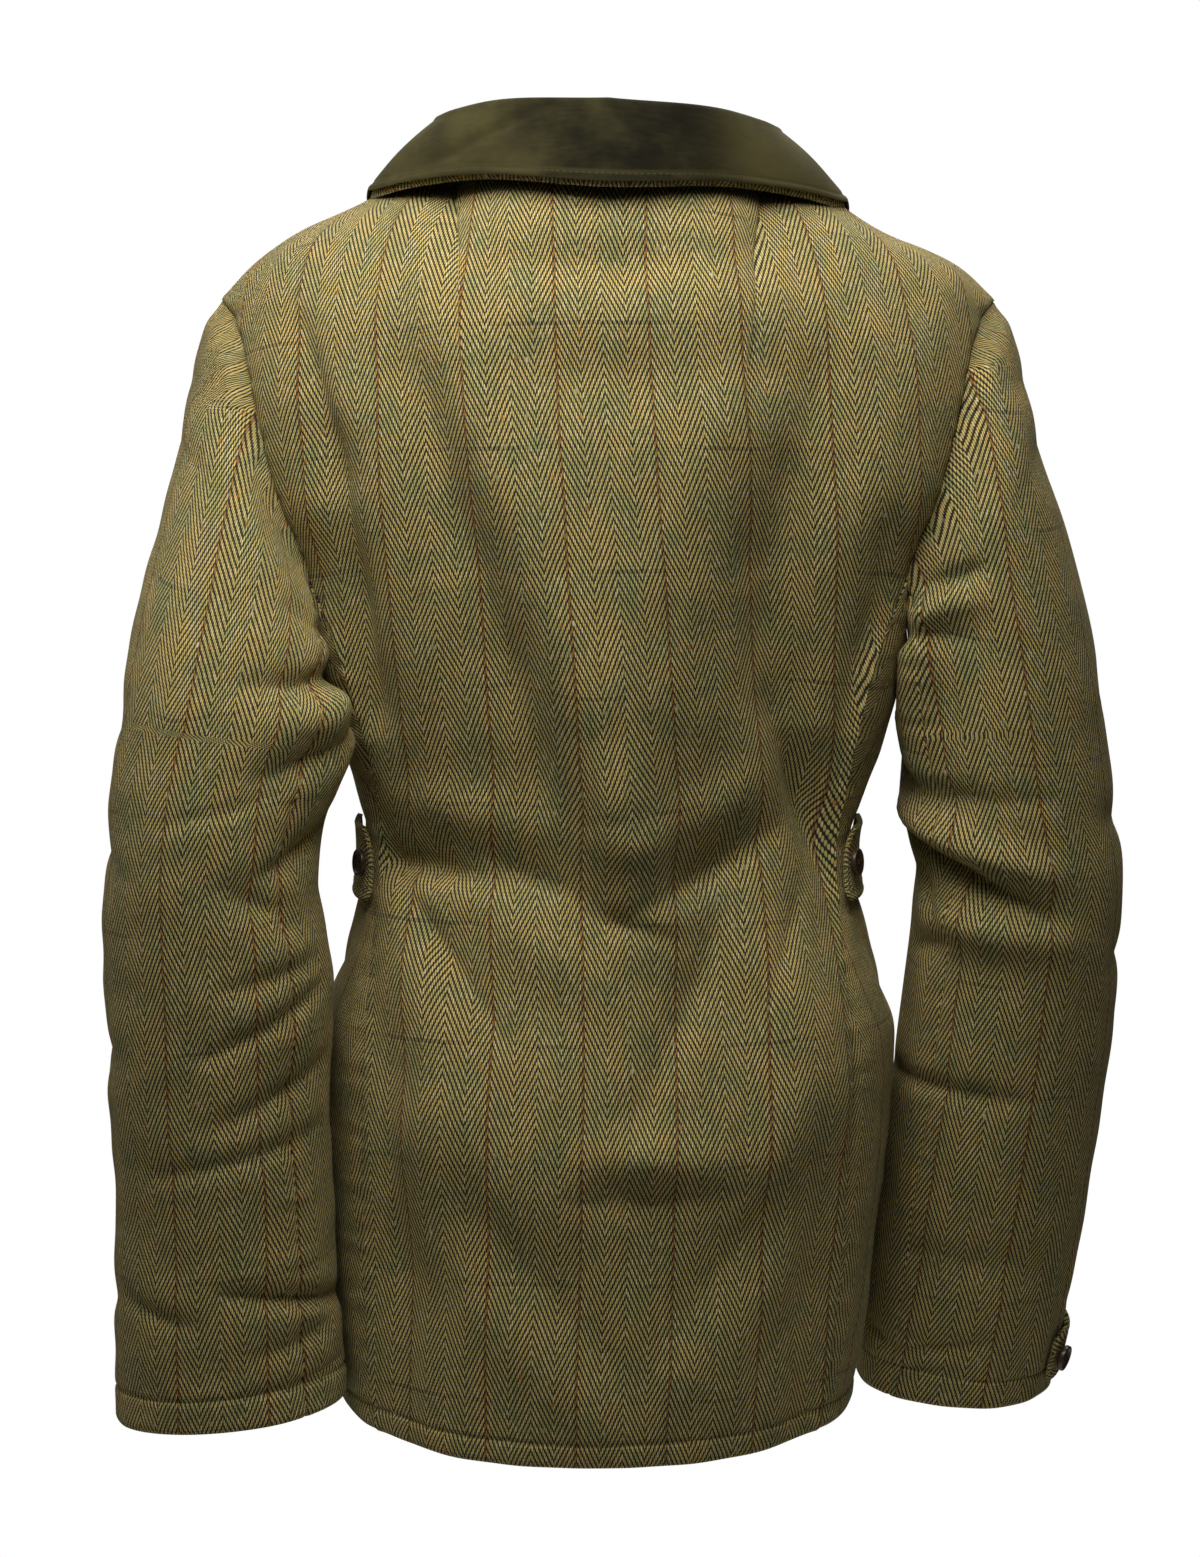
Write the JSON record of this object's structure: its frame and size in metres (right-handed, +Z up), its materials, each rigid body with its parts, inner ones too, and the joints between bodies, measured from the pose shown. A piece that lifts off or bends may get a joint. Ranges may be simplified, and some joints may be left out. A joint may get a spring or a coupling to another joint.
{
  "type": "tweed shooting jacket",
  "caption": "Fitted women's tweed jacket with a dark moleskin fall collar, waist and cuff tabs, closed and filled out as if worn, seen from the back.",
  "frame": {"origin": "between the shoulders, at the height of the collar's lower edge at the back of the neck", "axes": "+Z up, the jacket's front faces -Y and its back +Y, +X towards the wearer's left"},
  "size_m": [0.558, 0.275, 0.7339],
  "materials": {
    "tweed": "matt herringbone tweed with a windowpane check",
    "moleskin": "matt brushed cotton",
    "horn": "soft gloss"
  },
  "bodies": {
    "root": {"back": "tweed", "front_left": "tweed", "front_right": "tweed", "top_sleeve_left": "tweed", "under_sleeve_left": "tweed", "top_sleeve_right": "tweed", "under_sleeve_right": "tweed", "under_collar": "tweed", "waist_tab_left": "tweed", "waist_tab_right": "tweed", "cuff_tab_left": "tweed", "cuff_tab_right": "tweed", "upper_collar": "moleskin", "waist_button_left": "horn", "waist_button_right": "horn", "cuff_button_left": "horn", "cuff_button_right": "horn", "front_button_1": "horn", "front_button_2": "horn", "front_button_3": "horn", "front_button_4": "horn", "front_button_5": "horn"}
  },
  "joints": []
}
